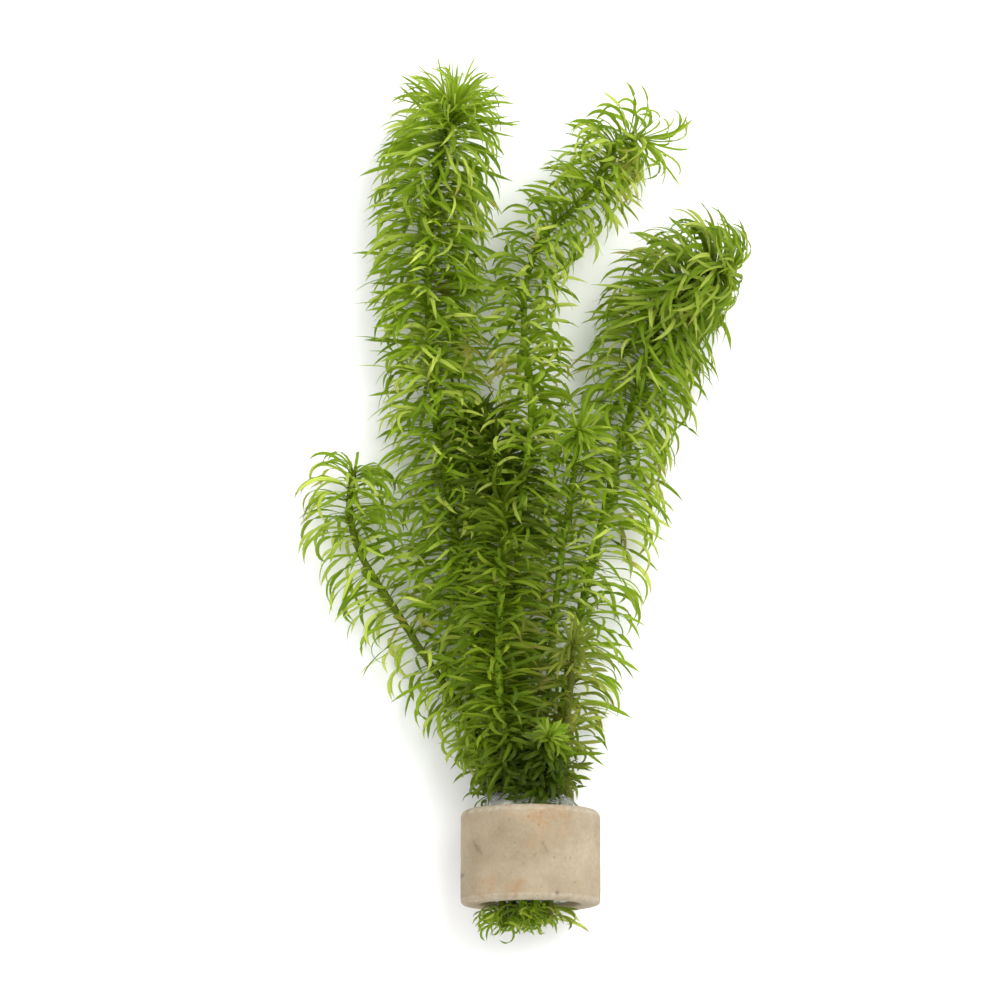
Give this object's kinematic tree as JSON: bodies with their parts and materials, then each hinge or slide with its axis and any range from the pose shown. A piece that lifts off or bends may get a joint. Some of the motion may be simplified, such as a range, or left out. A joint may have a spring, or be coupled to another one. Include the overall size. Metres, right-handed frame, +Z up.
{
  "type": "weighted bunch of egeria najas",
  "caption": "Bunch of slender-leaved waterweed shoots, egeria najas, held with wool packing in a fired-clay ring weight, lying on its side.",
  "frame": {"origin": "on the surface, below the middle of the whole bunch's box", "axes": "+Z up from the surface the bunch lies on; +Y along the ring's axis towards the shoots' tips; +X across the bunch"},
  "size_m": [0.1234, 0.243, 0.0434],
  "materials": {
    "fired_clay": "matte, unglazed",
    "wool": "matte, fibrous",
    "leaf": "satin, thin living leaf that light passes through",
    "leaf_dark": "satin, thin living leaf, dark green",
    "leaf_brown": "satin, thin living leaf, brownish green"
  },
  "bodies": {
    "root": {"clay_ring": "fired_clay", "wool_packing": "wool", "shoot_tall_left": "leaf", "shoot_middle": "leaf", "shoot_tall_right": "leaf", "shoot_low_left": "leaf", "shoot_front": "leaf_dark", "shoot_short_right": "leaf_brown", "shoot_short_front": "leaf", "shoot_back": "leaf"}
  },
  "joints": []
}
